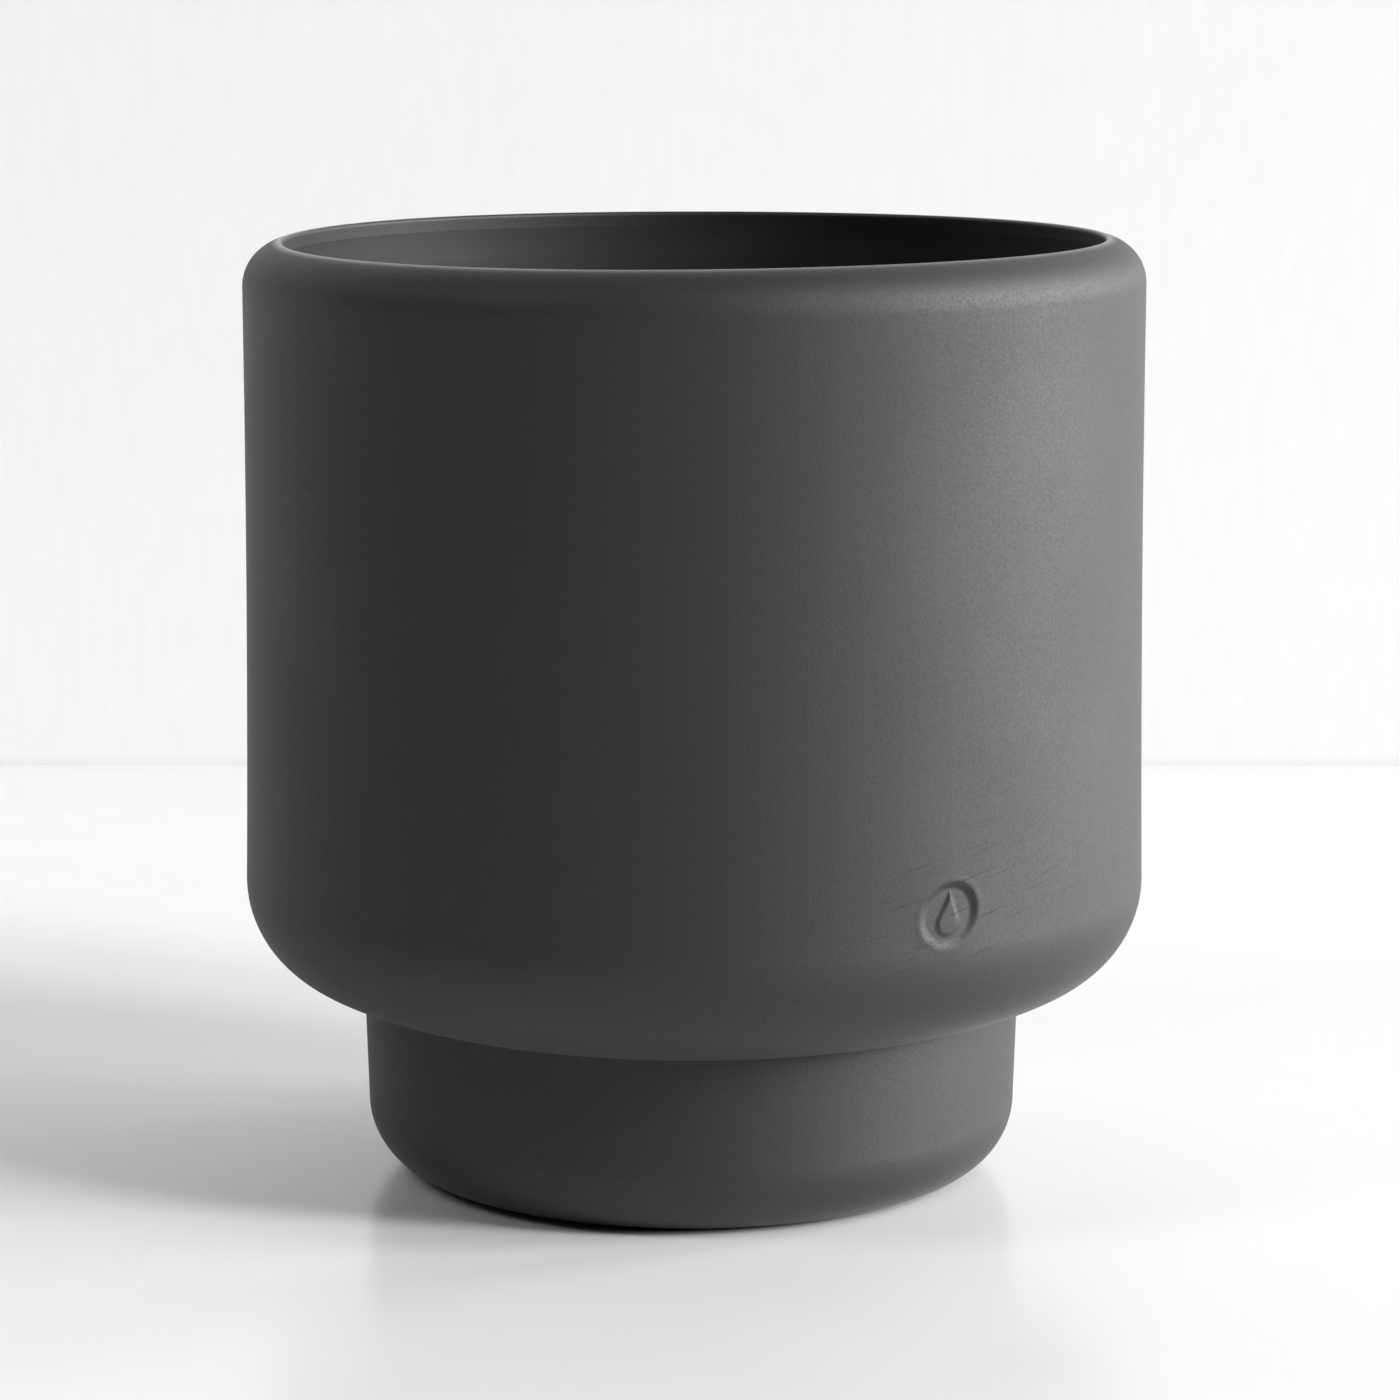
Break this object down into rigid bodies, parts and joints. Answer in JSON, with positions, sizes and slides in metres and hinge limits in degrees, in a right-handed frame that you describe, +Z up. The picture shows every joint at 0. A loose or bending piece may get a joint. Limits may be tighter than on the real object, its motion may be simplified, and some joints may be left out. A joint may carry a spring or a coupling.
{
  "type": "footed candle jar",
  "caption": "Empty round candle jar with a soft shoulder, a thin lip and a narrower foot, matt dark stoneware outside and glazed inside.",
  "frame": {"origin": "centre of the circle that the foot stands on, at the level of the table", "axes": "+Z up along the jar's axis, -Y towards the front and +X to the right; the pressed stamp is 32 degrees to the right of the front"},
  "size_m": [0.101, 0.101, 0.1054],
  "materials": {
    "stoneware": "unglazed matt, smoothed by hand, with a fine grain",
    "liner_glaze": "satin, dark, with faint throwing rings showing through"
  },
  "bodies": {
    "root": {"bowl": "stoneware", "foot": "stoneware", "glaze_lining": "liner_glaze"}
  },
  "joints": []
}
